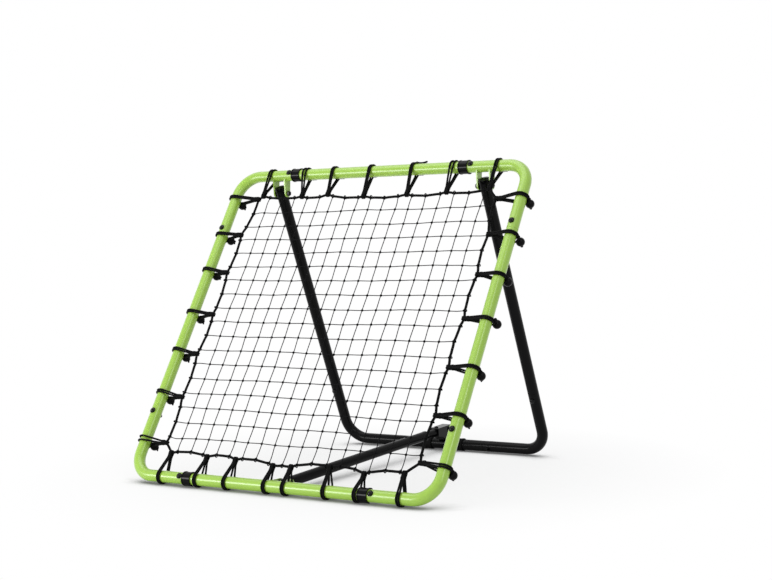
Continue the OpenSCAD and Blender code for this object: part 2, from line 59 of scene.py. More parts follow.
foot, head = middle("bottom_rail"), middle("top_rail")
EU = Vector((1, 0, 0))
EV = (head - foot).normalized()
EW = EU.cross(EV)
SIDE = (head - foot).length
HALF = (middle("side_rail_right") - middle("side_rail_left")).length / 2
# Radii of a frame tube, the bungee cord, the border rope, the net's twine and a bungee ball
RAIL = 0.016
STRAND = 0.0027
ROPE = 0.0035
THREAD = 0.0012
BALL = 0.012
# How far from a rail's axis the centre of the cord round it lies
WRAP = RAIL + 0.0003 + STRAND
# From the rope's centre to where a bungee's strands are bound together
TIE = 0.0118


def plane(u, v, w=0.0):
    return foot + EU * u + EV * v + EW * w


# Where each bungee crosses its rail, how far apart its two strands lie there, and the rope's knot it holds,
# in millimetres
TOP_HITS = [-373, -249, -149, -21, 120, 250, 389]
BOTTOM_HITS = [-379, -253, -154, -23, 38, 165, 260, 388]
LEFT_HITS = [101, 246, 379, 502, 642, 762, 890]
RIGHT_HITS = [87, 225, 357, 495, 624, 748, 865]
TOP_SPREAD = [9.4, 11, 6.2, 6.2, 6.2, 11, 7]
BOTTOM_SPREAD = [6.6, 6.2, 6.6, 6.6, 6.6, 6.6, 6.2, 7]
LEFT_SPREAD = [12, 6.6, 6, 6, 6.4, 6, 6.4]
RIGHT_SPREAD = [6.4, 6, 6, 6.4, 6, 6, 6.4]
# Where each side ball lies: its shift up the rail from its bungee, and how far out from the rail's axis
LEFT_BALLS = [(-6, -14), (-9, -10), (-7, -9), (-6, -10), (-2, -10), (-1, -14), (-6, -8)]
RIGHT_BALLS = [(-6, 12), (-4, 13), (-6, 13), (3, 17), (-2, 14), (-6, 18), (-6, 15)]
TOP_KNOTS = [(-384, 898), (-242, 892), (-151, 896), (-24, 885), (120, 886), (247, 889), (380, 894)]
BOTTOM_KNOTS = [(-377, 70), (-250, 67), (-152, 66), (-25, 57), (33, 58), (155, 67), (261, 56), (377, 66)]
LEFT_KNOTS = [(-407, 98), (-412, 238), (-416, 373), (-411, 500), (-416, 638), (-415, 765), (-398, 888)]
RIGHT_KNOTS = [(413, 96), (417, 225), (414, 359), (418, 499), (420, 629), (418, 751), (410, 862)]
# The net: its pitch, how many threads run each way, and its middle in metres
MESH, THREADS = 0.045, 17
NET_MID = (0.004, 0.477)


# ---- materials ----

class Finish:
    """A node material on the Principled shader, with patterns in metres or along a cord's UVs."""

    def __init__(self, name, **values):
        self.m = bpy.data.materials.new(name)
        self.m.use_nodes = True
        self.t = self.m.node_tree
        self.shader = self.t.nodes["Principled BSDF"]
        self.put(self.shader, values)
        self.coords = self.t.nodes.new("ShaderNodeTexCoord")

    def put(self, node, values):
        for key, value in values.items():
            socket = node.inputs[key.replace("_", " ")] if isinstance(key, str) else node.inputs[key]
            if isinstance(value, bpy.types.NodeSocket):
                self.t.links.new(value, socket)
            else:
                socket.default_value = value

    def node(self, kind, settings=None, **values):
        n = self.t.nodes.new("ShaderNode" + kind)
        for key, value in (settings or {}).items():
            setattr(n, key, value)
        self.put(n, values)
        return n

    def noise(self, scale, detail=2.0, rough=0.5, stretch=None):
        where = self.coords.outputs["Object"]
        if stretch:
            where = self.node("Mapping", Vector=where, Scale=stretch).outputs[0]
        return self.node("TexNoise", Vector=where, Scale=scale, Detail=detail, Roughness=rough).outputs["Fac"]

    def math(self, op, a, b=None):
        n = self.node("Math", {"operation": op})
        self.put(n, {0: a} if b is None else {0: a, 1: b})
        return n.outputs[0]

    def range(self, value, a, b, to_a, to_b):
        n = self.node("MapRange")
        self.put(n, dict(enumerate((value, a, b, to_a, to_b))))
        return n.outputs[0]

    def mix(self, fac, a, b):
        n = self.node("Mix", {"data_type": "RGBA"})
        self.put(n, {0: fac, 6: a, 7: b})
        return n.outputs[2]

    def set(self, socket, value):
        self.put(self.shader, {socket: value})

    def bump(self, height, distance, strength, last=None):
        n = self.node("Bump", Strength=strength, Distance=distance, Height=height)
        if last is not None:
            self.put(n, {"Normal": last})
        return n.outputs[0]

    def uv(self):
        split = self.node("SeparateXYZ", Vector=self.coords.outputs["UV"])
        return split.outputs[0], split.outputs[1]


def rgba(r, g, b):
    return (r, g, b, 1.0)


# How deep powder coat's orange peel is
PEEL = 0.00003


def powder(name, low, high, rough, coat, gloss):
    """Powder coat: a slow drift of colour, a fine orange peel, and faint rubs that dull it."""
    f = Finish(name, Coat_Weight=coat, Coat_Roughness=0.27, Coat_IOR=1.5, Specular_IOR_Level=gloss)
    drift = f.noise(5.0, 3.0, 0.6)
    base = f.mix(f.range(drift, 0.35, 0.65, 0.0, 1.0), low, high)
    specks = f.range(f.noise(900.0, 1.0), 0.60, 0.72, 0.0, 0.03)
    lighter = rgba(*(min(1.0, c * 1.2 + 0.001) for c in high[:3]))
    f.set("Base_Color", f.mix(specks, base, lighter))
    rubs = f.range(f.noise(60.0, 4.0, 0.7, (1.0, 0.25, 0.25)), 0.52, 0.75, 0.0, 0.10)
    f.set("Roughness", f.math("ADD", f.range(f.noise(28.0, 2.0), 0.3, 0.7, rough - 0.03, rough + 0.04), rubs))
    coarse = f.bump(f.noise(650.0, 1.5), PEEL, 0.5)
    f.set("Normal", f.bump(f.noise(1800.0, 2.0), PEEL * 0.25, 0.35, coarse))
    return f.m


def moulded(name, colour, rough, gloss, grain):
    """Moulded plastic: faint flow lines and a slightly uneven gloss."""
    f = Finish(name, Specular_IOR_Level=gloss)
    lighter = rgba(*(c * 1.6 + 0.0005 for c in colour))
    f.set("Base_Color", f.mix(f.range(f.noise(22.0, 3.0), 0.4, 0.7, 0.0, 1.0), rgba(*colour), lighter))
    f.set("Roughness", f.range(f.noise(90.0, 4.0, 0.65), 0.3, 0.75, rough - 0.04, rough + 0.10))
    f.set("Normal", f.bump(f.noise(700.0, 2.0), grain, 0.4))
    return f.m


def plated(name):
    """Blackened steel of the bolts and nuts, a little brighter where a spanner rubs it."""
    f = Finish(name, Specular_IOR_Level=0.18)
    worn = f.range(f.noise(160.0, 5.0, 0.7), 0.58, 0.78, 0.0, 0.5)
    f.set("Base_Color", f.mix(worn, rgba(0.002, 0.002, 0.0022), rgba(0.010, 0.010, 0.011)))
    f.set("Roughness", f.range(f.noise(240.0, 3.0), 0.3, 0.7, 0.09, 0.16))
    f.set("Normal", f.bump(f.noise(900.0, 3.0), 0.00003, 0.5))
    return f.m


def rubber(name):
    """Dull rubber with a little dust in its grain."""
    f = Finish(name, Specular_IOR_Level=0.07)
    dust = f.range(f.noise(130.0, 5.0, 0.7), 0.45, 0.75, 0.0, 0.6)
    f.set("Base_Color", f.mix(dust, rgba(0.003, 0.003, 0.003), rgba(0.008, 0.008, 0.008)))
    f.set("Roughness", f.range(f.noise(70.0, 3.0), 0.3, 0.7, 0.6, 0.8))
    f.set("Normal", f.bump(f.noise(1500.0, 2.0), 0.0002, 0.6))
    return f.m


def braid(name, colour, fleck, pitch, around, depth, rough):
    """A woven sleeve: yarns crossing in diamonds along the cord's UVs, each yarn its own tone, with painted shade
    in the grooves between the yarns.
    """
    f = Finish(name, Sheen_Weight=0.01, Sheen_Roughness=0.5, Roughness=rough, Specular_IOR_Level=0.06)
    along, turn = f.uv()
    a = f.math("MULTIPLY", along, 1.0 / pitch)
    b = f.math("MULTIPLY", turn, around)
    one = f.math("ABSOLUTE", f.math("SINE", f.math("MULTIPLY", f.math("ADD", a, b), math.pi)))
    two = f.math("ABSOLUTE", f.math("SINE", f.math("MULTIPLY", f.math("SUBTRACT", a, b), math.pi)))
    height = f.math("MULTIPLY", one, two)
    yarn = f.noise(850.0, 2.0, 0.6)
    # Painted shade: the colour is darkest where the weave is lowest, between the yarns; the yarn noise is their
    # own tone
    shade = f.math("MULTIPLY", f.range(height, 0.0, 0.8, 0.25, 1.0), f.range(yarn, 0.3, 0.7, 0.4, 1.0))
    f.set("Base_Color", f.mix(shade, rgba(*(c * 0.35 for c in colour)), rgba(*fleck)))
    f.set("Normal", f.bump(yarn, 0.0001, 0.5, f.bump(height, depth, 0.9)))
    return f.m


def twist(name, colour, fleck, pitch, plies, depth, rough):
    """Laid twine: plies that wind round the thread, with painted shade in the grooves between the plies."""
    f = Finish(name, Roughness=rough, Specular_IOR_Level=0.06)
    along, turn = f.uv()
    a = f.math("MULTIPLY", along, 1.0 / pitch)
    b = f.math("MULTIPLY", turn, plies)
    ply = f.math("ABSOLUTE", f.math("SINE", f.math("MULTIPLY", f.math("ADD", a, b), math.pi)))
    fuzz = f.noise(1100.0, 3.0, 0.7)
    # Painted shade: the colour is darkest where the plies meet; the fuzz noise is the twine's own tone
    shade = f.math("MULTIPLY", f.range(ply, 0.0, 0.9, 0.2, 1.0), f.range(fuzz, 0.3, 0.7, 0.4, 1.0))
    f.set("Base_Color", f.mix(shade, rgba(*colour), rgba(*fleck)))
    f.set("Normal", f.bump(fuzz, 0.0001, 0.5, f.bump(ply, depth, 0.9)))
    return f.m


GREEN = powder("green_powder", rgba(0.315, 0.532, 0.052), rgba(0.336, 0.562, 0.062), 0.28, 0.75, 0.35)
BLACK = powder("black_powder", rgba(0.0014, 0.0014, 0.0016), rgba(0.0022, 0.0022, 0.0025), 0.20, 0.0, 0.10)
# The strut's black shines less than the support's
SATIN = powder("black_strut", rgba(0.0012, 0.0012, 0.0014), rgba(0.0020, 0.0020, 0.0022), 0.22, 0.0, 0.04)
STEEL = plated("black_fastener")
GLOSS = moulded("gloss_plastic", (0.0012, 0.0012, 0.0014), 0.08, 0.11, 0.00002)
BALLS = moulded("ball_plastic", (0.0018, 0.0018, 0.0020), 0.26, 0.08, 0.00005)
RUBBER = rubber("collar_rubber")
CORD, CORD_FLECK = (0.003, 0.003, 0.0033), (0.008, 0.008, 0.0085)
BUNGEE = braid("bungee_sleeve", CORD, CORD_FLECK, 0.0042, 8.0, 0.0003, 0.7)
ROPES = braid("border_rope", CORD, CORD_FLECK, 0.0050, 6.0, 0.0005, 0.75)
TWINE = twist("net_twine", (0.0025, 0.0025, 0.003), (0.009, 0.009, 0.0095), 0.0035, 2.0, 0.0003, 0.8)

LOOKS = {"green_powder_coat": GREEN, "black_powder_coat": BLACK, "black_fasteners": STEEL,
         "black_gloss_plastic": GLOSS, "collar_rubber": RUBBER, "net_twine": TWINE, "border_rope": ROPES,
         "bungee_cord": BUNGEE, "black_balls": BALLS}
for part in frame["record"]["subparts"]:
    o = nodes[part["node"]]
    o.data.materials.clear()
    strut = part["node"] in ("strut_outer_tube", "strut_inner_tube")
    o.data.materials.append(SATIN if strut else LOOKS[part["material_slot"]])


# ---- mesh code ----

class Shape:
    """Collects the vertices, faces and UVs of one piece."""

    def __init__(self):
        self.v, self.f, self.uv = [], [], []

    def ring(self, centre, x, y, rx, ry, sides):
        start = len(self.v)
        for k in range(sides):
            a = 2 * math.pi * k / sides
            self.v.append(centre + x * (rx * math.cos(a)) + y * (ry * math.sin(a)))
        return start

    def skin(self, a, b, sides, ua, ub):
        for k in range(sides):
            n = (k + 1) % sides
            self.f.append((a + k, a + n, b + n, b + k))
            self.uv.append(((ua, k / sides), (ua, (k + 1) / sides), (ub, (k + 1) / sides), (ub, k / sides)))

    def cap(self, start, centre, sides, u, flip):
        tip = len(self.v)
        self.v.append(centre)
        for k in range(sides):
            n = (k + 1) % sides
            face = (start + k, start + n, tip)
            uvs = ((u, k / sides), (u, (k + 1) / sides), (u, (k + 0.5) / sides))
            self.f.append(face[::-1] if flip else face)
            self.uv.append(uvs[::-1] if flip else uvs)

    def tube(self, points, radius, sides, closed=False, normal=None):
        """A round tube along the points. radius is one number or one for each point."""
        n = len(points)
        radii = radius if isinstance(radius, list) else [radius] * n
        heads = []
        for i in range(n):
            a = points[i - 1] if i or closed else points[0]
            b = points[(i + 1) % n] if i < n - 1 or closed else points[-1]
            heads.append((b - a).normalized())
        x = (normal or heads[0].orthogonal()).normalized()
        rings, u = [], 0.0
        for i in range(n):
            d = heads[i]
            kept = x if normal is None else normal
            x = (kept - d * kept.dot(d)).normalized()
            y = d.cross(x)
            if i:
                u += (points[i] - points[i - 1]).length
            rings.append((self.ring(points[i], x, y, radii[i], radii[i], sides), u))
        for (a, ua), (b, ub) in zip(rings, rings[1:]):
            self.skin(a, b, sides, ua, ub)
        if closed:
            last = rings[-1][1] + (points[0] - points[-1]).length
            self.skin(rings[-1][0], rings[0][0], sides, rings[-1][1], last)
        else:
            self.cap(rings[0][0], points[0] - heads[0] * radii[0] * 0.5, sides, 0.0, True)
            self.cap(rings[-1][0], points[-1] + heads[-1] * radii[-1] * 0.5, sides, u, False)

    def lathe(self, centre, axis, profile, sides):
        """Turns [(along, out), ...] round axis. A closed profile is one that ends where it starts."""
        axis = axis.normalized()
        x = axis.orthogonal().normalized()
        y = axis.cross(x)
        rings = []
        u = 0.0
        for i, (h, r) in enumerate(profile):
            if i:
                u += math.hypot(h - profile[i - 1][0], r - profile[i - 1][1])
            rings.append((self.ring(centre + axis * h, x, y, r, r, sides), u))
        for (a, ua), (b, ub) in zip(rings, rings[1:]):
            self.skin(a, b, sides, ua, ub)

    def lump(self, centre, rx, ry, rz, axes, sides, bands):
        """A rounded lump with half-widths along three axes."""
        ex, ey, ez = axes
        rows = []
        for j in range(1, bands):
            a = math.pi * j / bands
            rows.append(self.ring(centre + ez * (-rz * math.cos(a)), ex, ey,
                                  rx * math.sin(a), ry * math.sin(a), sides))
        for j in range(len(rows) - 1):
            self.skin(rows[j], rows[j + 1], sides, j * 0.002, j * 0.002 + 0.002)
        self.cap(rows[0], centre - ez * rz, sides, 0.0, True)
        self.cap(rows[-1], centre + ez * rz, sides, 0.0, False)

    def piece(self, name, look, body, slot, stands_for=()):
        mesh = bpy.data.meshes.new(name)
        mesh.from_pydata([tuple(p) for p in self.v], [], self.f)
        layer = mesh.uv_layers.new(name="UVMap")
        flat = [c for face in self.uv for uv in face for c in uv]
        layer.data.foreach_set("uv", flat)
        mesh.polygons.foreach_set("use_smooth", [True] * len(mesh.polygons))
        mesh.update()
        mesh.materials.append(look)
        o = bpy.data.objects.new(name, mesh)
        bpy.context.scene.collection.objects.link(o)
        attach(o, body)
        if stands_for:
            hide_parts(*stands_for)


def smooth(points, rounds):
    """Evens out a path, with its two ends held."""
    pts = list(points)
    for _ in range(rounds):
        new = list(pts)
        for i in range(1, len(pts) - 1):
            new[i] = pts[i] * 0.5 + (pts[i - 1] + pts[i + 1]) * 0.25
        pts = new
    return pts


def spread(points, step):
    """The path again with points evenly spaced by about step."""
    total = sum((b - a).length for a, b in zip(points, points[1:]))
    count = max(2, round(total / step))
    out, i, done = [points[0].copy()], 0, 0.0
    for k in range(1, count):
        want = total * k / count
        while i < len(points) - 2 and done + (points[i + 1] - points[i]).length < want:
            done += (points[i + 1] - points[i]).length
            i += 1
        span = (points[i + 1] - points[i]).length
        out.append(points[i].lerp(points[i + 1], (want - done) / max(span, 1e-9)))
    out.append(points[-1].copy())
    return out


# ---- border rope ----

def metres(pairs):
    return [Vector((u / 1000, v / 1000)) for u, v in pairs]


# The rope's knots in order round the net
ring_knots = (metres(BOTTOM_KNOTS) + metres(RIGHT_KNOTS) + metres(TOP_KNOTS)[::-1]
              + metres(LEFT_KNOTS)[::-1])


def left_of(d):
    return Vector((-d.y, d.x)).normalized()


def rope_line():
    """The rope's centreline in the plane: it bows inward from knot to knot, least where two knots are close."""
    out = []
    for i, a in enumerate(ring_knots):
        b = ring_knots[(i + 1) % len(ring_knots)]
        c = (b - a).length
        sag = 0.007 if c > 0.06 else 0.0006
        n = left_of(b - a)
        for k in range(24):
            t = k / 24
            out.append(a.lerp(b, t) + n * (sag * 4 * t * (1 - t)))
    return out


rope_2d = rope_line()
count = len(rope_2d)


def crossings(at, axis):
    """Where the line u = at (axis 0) or v = at (axis 1) meets the rope, lowest and highest."""
    hits = []
    for i, a in enumerate(rope_2d):
        b = rope_2d[(i + 1) % count]
        if (a[axis] - at) * (b[axis] - at) <= 0 and a[axis] != b[axis]:
            t = (at - a[axis]) / (b[axis] - a[axis])
            hits.append(a.lerp(b, t)[1 - axis])
    return min(hits), max(hits)


lines_u = [NET_MID[0] + (i - (THREADS - 1) / 2) * MESH for i in range(THREADS)]
lines_v = [NET_MID[1] + (i - (THREADS - 1) / 2) * MESH for i in range(THREADS)]
ties = [Vector((u, v)) for u in lines_u for v in crossings(u, 0)]
ties += [Vector((u, v)) for v in lines_v for u in crossings(v, 1)]


def pulled(p):
    """The rope's centreline near p, drawn in to a soft corner at each thread tied to it."""
    near = min((p - q).length for q in ties)
    inward = (Vector(NET_MID) - p).normalized()
    return p + inward * (0.0016 * math.exp(-(near / 0.007) ** 2))


rope = Shape()
rope_points = []
for i, p in enumerate(rope_2d):
    q = pulled((rope_2d[i - 1] + p * 2 + rope_2d[(i + 1) % count]) / 4)
    rope_points.append(plane(q.x, q.y, 0.0))
rope.tube(rope_points, ROPE, 12, closed=True, normal=EW)
rope.piece("border_rope", ROPES, "frame", "border_rope", ["net_border_rope"])


# ---- net ----

def warp(u, v):
    """A net thread's place near (u, v): drawn a little towards the rope's knots, and slack between."""
    push = Vector((0.0, 0.0))
    for k in ring_knots:
        d = Vector((k.x - u, k.y - v))
        push += d.normalized() * 0.0045 * math.exp(-(d.length / 0.055) ** 2)
    du = 0.0010 * math.sin(23 * v + 3.1 * u) + 0.0007 * math.sin(61 * u + 17 * v)
    dv = 0.0010 * math.sin(19 * u - 5.3 * v) + 0.0007 * math.sin(47 * v - 13 * u)
    fall = max(0.0, 1 - (u / 0.42) ** 2) * max(0.0, 1 - ((v - 0.48) / 0.42) ** 2)
    return Vector((u + push.x + du, v + push.y + dv, -0.003 * fall))


net = Shape()


def thread(axis, at, over):
    """One thread of the net from rope to rope, over and under those it crosses, looped on the rope at its ends."""
    lo, hi = crossings(at, axis)
    steps = max(8, round((hi - lo) / 0.009))
    points = []
    for i in range(steps + 1):
        s = lo + (hi - lo) * i / steps
        u, v = (at, s) if axis == 0 else (s, at)
        p = warp(u, v)
        blend = min(1.0, min(s - lo, hi - s) / 0.03)
        u, v, w = (u + (p.x - u) * blend, v + (p.y - v) * blend, p.z * blend)
        cell = (s - (lines_v if axis == 0 else lines_u)[0]) / MESH
        w += over * 0.0007 * math.cos(math.pi * cell)
        points.append(plane(u, v, w))
    first, last = points[0], points[-1]
    for end, inward in ((first, points[1] - first), (last, points[-2] - last)):
        way = inward.normalized()
        side = way.cross(EW).normalized()
        coil = []
        for k in range(19):
            a = 2 * math.pi * 1.5 * k / 18
            coil.append(end + way * (math.cos(a) * (ROPE + THREAD))
                        + EW * (math.sin(a) * (ROPE + THREAD))
                        + side * (0.0011 * (k / 18 - 0.5) * 2))
        net.tube(coil, THREAD, 6)
        net.lump(end + way * (ROPE + 0.0008), 0.0026, 0.0026, 0.0038, (side, EW, way), 8, 6)
    net.tube(points, THREAD, 7)


for i, u in enumerate(lines_u):
    thread(0, u, 1 if i % 2 else -1)
for j, v in enumerate(lines_v):
    thread(1, v, -1 if j % 2 else 1)
# A knot at each crossing that is clear of the rope
CLEAR = 0.006
for u in lines_u:
    low, high = crossings(u, 0)
    for v in lines_v:
        left, right = crossings(v, 1)
        if low + CLEAR < v < high - CLEAR and left + CLEAR < u < right - CLEAR:
            p = warp(u, v)
            tip = EU * random.uniform(-0.3, 0.3) + EV
            ez = tip.normalized()
            ex = ez.cross(EW).normalized()
            net.lump(plane(p.x, p.y, p.z), 0.0036, 0.0030, 0.0037, (ex, EW, ez), 8, 6)
net.piece("knotted_net", TWINE, "frame", "net_twine", ["net"])


# ---- bungees and balls ----

def on_rail(side):
    """A rail's own frame: x along the rail, y away from the net, z forward. Returns place and direction makers."""
    if side == "top":
        o, x, y = plane(0, SIDE), EU, EV
    elif side == "bottom":
        o, x, y = plane(0, 0), -EU, -EV
    elif side == "left":
        o, x, y = plane(-HALF, 0), EV, -EU
    else:
        o, x, y = plane(HALF, 0), -EV, EU
    return (lambda a, b, c: o + x * a + y * b + EW * c), (lambda a, b, c: x * a + y * b + EW * c)


# A top or bottom ball's place off its rail's axis: away from the net, and forward
BALL_AT = {"top": (0.012, -(RAIL + BALL - 0.001)), "bottom": (-0.014, -(RAIL + BALL - 0.003))}
# The same forward place of a side ball
SIDE_BALL_Z = -(RAIL + BALL - 0.002)
# A ball's bore, and the rounding of its mouths
BORE, LIP = 0.0034, 0.0010
# The cord of a ball's knot and cut ends
FINE = STRAND * 0.85
# Half the width of the two strands round the rope, and of the loop that hooks under the ball
PAIR, HOOK = 0.0026, 0.0078


def ball_profile():
    """A turned sphere with a bore and soft edges round its mouths, as a closed profile for lathe."""
    shoulder = math.sqrt(BALL ** 2 - (BORE + LIP) ** 2) - LIP
    start = math.asin((BORE + LIP) / BALL)
    profile = []
    for i in range(5):
        a = math.pi / 2 * i / 4
        profile.append((-shoulder - LIP * math.sin(a), BORE + LIP - LIP * math.cos(a)))
    for i in range(1, 20):
        a = start + (math.pi - 2 * start) * i / 20
        profile.append((-BALL * math.cos(a), BALL * math.sin(a)))
    for i in range(5):
        a = math.pi / 2 * (1 - i / 4)
        profile.append((shoulder + LIP * math.sin(a), BORE + LIP - LIP * math.cos(a)))
    return profile + [(0.0, BORE), profile[0]]


def round_rail(x, angle, r=WRAP):
    """A place round a rail in its own frame. The angle runs from away from the net towards forward."""
    return Vector((x, r * math.cos(angle), r * math.sin(angle)))


def cord_path(side, hit, kx, ky, bx, gap, centre, axis, stop):
    """One closed loop of cord in the rail's frame: out of the ball, over the rail's front, round the rope, back
    behind the rail, and hooked under the ball."""
    hub_y = ky + TIE
    lean = math.acos(WRAP / -hub_y)
    near = lean - math.pi
    back = max(stop, near)
    # Half the width of the two strands where they land behind the rail
    wide = 0.0045 if side != "bottom" else 0.0030 if abs(hit) > 0.37 else 0.0075
    round_rope = ROPE + STRAND + 0.0001
    halves = []
    for s in (-1, 1):
        pts = [centre + Vector((s * 0.0013, 0, 0)) - axis * 0.002,
               centre + Vector((s * 0.0022, 0, 0)) - axis * (BALL * 0.85)]
        for i in range(19):
            pts.append(round_rail(hit + s * gap / 2, stop + (math.pi - lean - stop) * i / 18))
        pts.append(Vector((kx + s * PAIR, hub_y, STRAND + 0.0006)))
        for i in range(13):
            a = math.radians(50 - 280 * i / 12)
            pts.append(Vector((kx + s * PAIR, ky + round_rope * math.sin(a), round_rope * math.cos(a))))
        gather = Vector((kx + s * 0.0025, hub_y, -STRAND - 0.0006))
        land = round_rail(bx + s * wide, near)
        pts.append(gather)
        for i in range(1, 8):
            p = gather.lerp(land, i / 8)
            if side != "bottom":
                p.x = gather.x + (bx + s * 0.0034 - gather.x) * i / 8
            pts.append(p)
        for i in range(9):
            pts.append(round_rail(bx + s * (wide + (HOOK - wide) * i / 8), near + (back - near) * i / 8))
        halves.append(pts)
    hook = []
    for i in range(1, 10):
        b = math.pi * i / 10
        a = back + math.radians(20) * math.sin(b)
        hook.append(round_rail(bx - HOOK * math.cos(b), a, WRAP + 2 * STRAND * math.sin(b) ** 0.5))
    return halves[0] + hook + halves[1][::-1]


def binding(cords, at, way, hub):
    """Turns of cord that bind the strands into a lump at the rope."""
    turns = []
    for i in range(49):
        a = 2 * math.pi * 2.25 * i / 48
        turns.append(at(hub.x + 0.0058 * math.cos(a), hub.y + 0.0060 * (i / 48 - 0.5),
                        hub.z + 0.0053 * math.sin(a)))
    cords.tube(turns, STRAND * 0.8, 8)
    cords.lump(at(*hub), 0.0060, 0.0054, 0.0046, (way(1, 0, 0), way(0, 0, 1), way(0, 1, 0)), 12, 7)


def knot_and_ends(cords, at, far, axis):
    """The knot on a ball's far side, with two short cut ends."""
    across = Vector((1, 0, 0))
    up = axis.cross(across).normalized()
    knot = []
    for i in range(32):
        a = 2 * math.pi * i / 32
        knot.append(at(*(far + across * (0.0034 * math.cos(a)) + up * (0.0024 * math.sin(2 * a))
                         + axis * (0.0012 * math.sin(3 * a)))))
    cords.tube(knot, FINE, 8, closed=True)
    for s in (-1, 1):
        bend = random.uniform(-0.6, 0.6)
        length = random.uniform(0.003, 0.005)
        tail = []
        for i in range(8):
            t = i / 7
            tail.append(at(*(far + axis * (length * t * 0.6) + across * (s * (0.002 + length * 0.62 * t))
                             + up * (bend * length * t * t))))
        cords.tube(tail, FINE, 8)


def long_end(cords, at, x, length):
    """A long cut end, left lying along the top of the rail."""
    reach = []
    for i in range(15):
        a = math.radians(16 - i)
        r = WRAP + STRAND * math.exp(-i / 2) + 0.0060 * (i / 14) ** 4
        reach.append(at(x + length * i / 16, r * math.cos(a), r * math.sin(a)))
    cords.tube(smooth(reach, 2), [STRAND] * 14 + [STRAND * 0.8], 8)


def bungee(cords, balls, side, hit, kx, ky, bx, gap, end=0.0, out=0.0):
    """A bungee and its ball, in the rail's frame. hit is where it crosses the rail, (kx, ky) the rope's knot that
    it holds, bx its ball's place along the rail, gap how far apart its strands cross, end the length of a long cut
    end, and out a side ball's place away from the net."""
    at, way = on_rail(side)
    by, bz = BALL_AT.get(side, (out, SIDE_BALL_Z))
    stop = math.atan2(bz, by) + math.radians(24)
    centre = Vector((bx, by, bz))
    axis = (centre - round_rail(hit, stop)).normalized()
    path = [at(*p) for p in cord_path(side, hit, kx, ky, bx, gap, centre, axis, stop)]
    cords.tube(smooth(spread(path, 0.0028), 4), STRAND, 10)
    binding(cords, at, way, Vector((kx, ky + TIE, 0)))
    balls.lathe(at(*centre), way(*axis), BALL_PROFILE, 28)
    knot_and_ends(cords, at, centre + axis * (BALL - 0.0010), axis)
    if end:
        long_end(cords, at, hit + gap / 2, end)


def shifted(x):
    """How far a top or bottom ball lies along the rail from its bungee: only the ones near the middle do."""
    return -0.011 if abs(x) < 30 else 0.0


BALL_PROFILE = ball_profile()
LONG_END_AT, LONG_END = 120, 0.036
sets = {side: (Shape(), Shape()) for side in ("top", "bottom", "left", "right")}
for h, g, (u, v) in zip(TOP_HITS, TOP_SPREAD, TOP_KNOTS):
    end = LONG_END if h == LONG_END_AT else 0.0
    bungee(*sets["top"], "top", h / 1000, u / 1000, v / 1000 - SIDE, h / 1000 + shifted(h), g / 1000, end)
for h, g, (u, v) in zip(BOTTOM_HITS, BOTTOM_SPREAD, BOTTOM_KNOTS):
    bungee(*sets["bottom"], "bottom", -h / 1000, -u / 1000, -v / 1000, -h / 1000 - shifted(h), g / 1000)
for h, g, (u, v), (up, out) in zip(LEFT_HITS, LEFT_SPREAD, LEFT_KNOTS, LEFT_BALLS):
    bungee(*sets["left"], "left", h / 1000, v / 1000, -(u / 1000 + HALF), (h + up) / 1000, g / 1000,
           out=out / 1000)
for h, g, (u, v), (up, out) in zip(RIGHT_HITS, RIGHT_SPREAD, RIGHT_KNOTS, RIGHT_BALLS):
    bungee(*sets["right"], "right", -h / 1000, -v / 1000, u / 1000 - HALF, -(h + up) / 1000, g / 1000,
           out=out / 1000)
for side, (cords, balls) in sets.items():
    cords.piece("bungee_cords_" + side, BUNGEE, "frame", "bungee_cord", ["bungees_" + side])
    balls.piece("bungee_balls_" + side, BALLS, "frame", "black_balls", ["balls_" + side])


# ---- weld beads where the bracket plates meet the rails ----

# Half a bracket plate's thickness, and where the plates stand along the rails
HALF_PLATE = 0.002
HINGE_X, HINGE_PLATE, STRUT_PLATE = 0.345, 0.020, 0.0175


def beads(shape, x, v, toward, reach):
    """Two beads, one each side of a plate at x on the rail at v. toward is the plate's [v, w] way off the rail,
    and reach how far the beads run round the rail each way from it."""
    lean = math.atan2(toward[1], toward[0])
    r = RAIL + 0.0004
    for k in (-1, 1):
        points, radii = [], []
        for i in range(41):
            a = lean - reach + 2 * reach * i / 40
            points.append(plane(x + k * (HALF_PLATE + 0.0004), v + r * math.cos(a), r * math.sin(a)))
            radii.append(0.0017 + 0.00022 * math.sin(i * 1.9) + random.uniform(-0.0001, 0.0001))
        shape.tube(points, radii, 8)


welds = Shape()
for s in (-1, 1):
    for k in (-1, 1):
        beads(welds, s * HINGE_X + k * HINGE_PLATE, SIDE, (-0.0436, -0.0287), math.radians(57))
for k in (-1, 1):
    beads(welds, k * STRUT_PLATE, 0.0, (0.028, -0.041), math.radians(55))
welds.piece("weld_beads", GREEN, "frame", "green_powder_coat")


# ---- camera, floor and light ----

# The camera's place from the bottom rail's middle and its turns in radians, solved from the rails' edges
CAMERA_AT = Vector((2.38141, -3.06983, 0.66632))
YAW, PITCH, ROLL = 0.582531, -0.0435408, -0.0248725
LENS, SENSOR = 70.93, 36.0


def camera():
    data = bpy.data.cameras.new("camera")
    o = bpy.data.objects.new("camera", data)
    bpy.context.scene.collection.objects.link(o)
    ahead = Vector((-math.sin(YAW), math.cos(YAW), 0))
    right = Vector((math.cos(YAW), math.sin(YAW), 0))
    up = Vector((0, 0, 1))
    look = ahead * math.cos(PITCH) + up * math.sin(PITCH)
    rise = up * math.cos(PITCH) - ahead * math.sin(PITCH)
    x = right * math.cos(ROLL) + rise * math.sin(ROLL)
    y = rise * math.cos(ROLL) - right * math.sin(ROLL)
    o.matrix_world = Matrix.Translation(foot + CAMERA_AT) @ Matrix(
        ((x.x, y.x, -look.x), (x.y, y.y, -look.y), (x.z, y.z, -look.z))).to_4x4()
    data.lens = LENS
    data.sensor_width = SENSOR
    data.clip_start, data.clip_end = 0.05, 60.0
    bpy.context.scene.camera = o


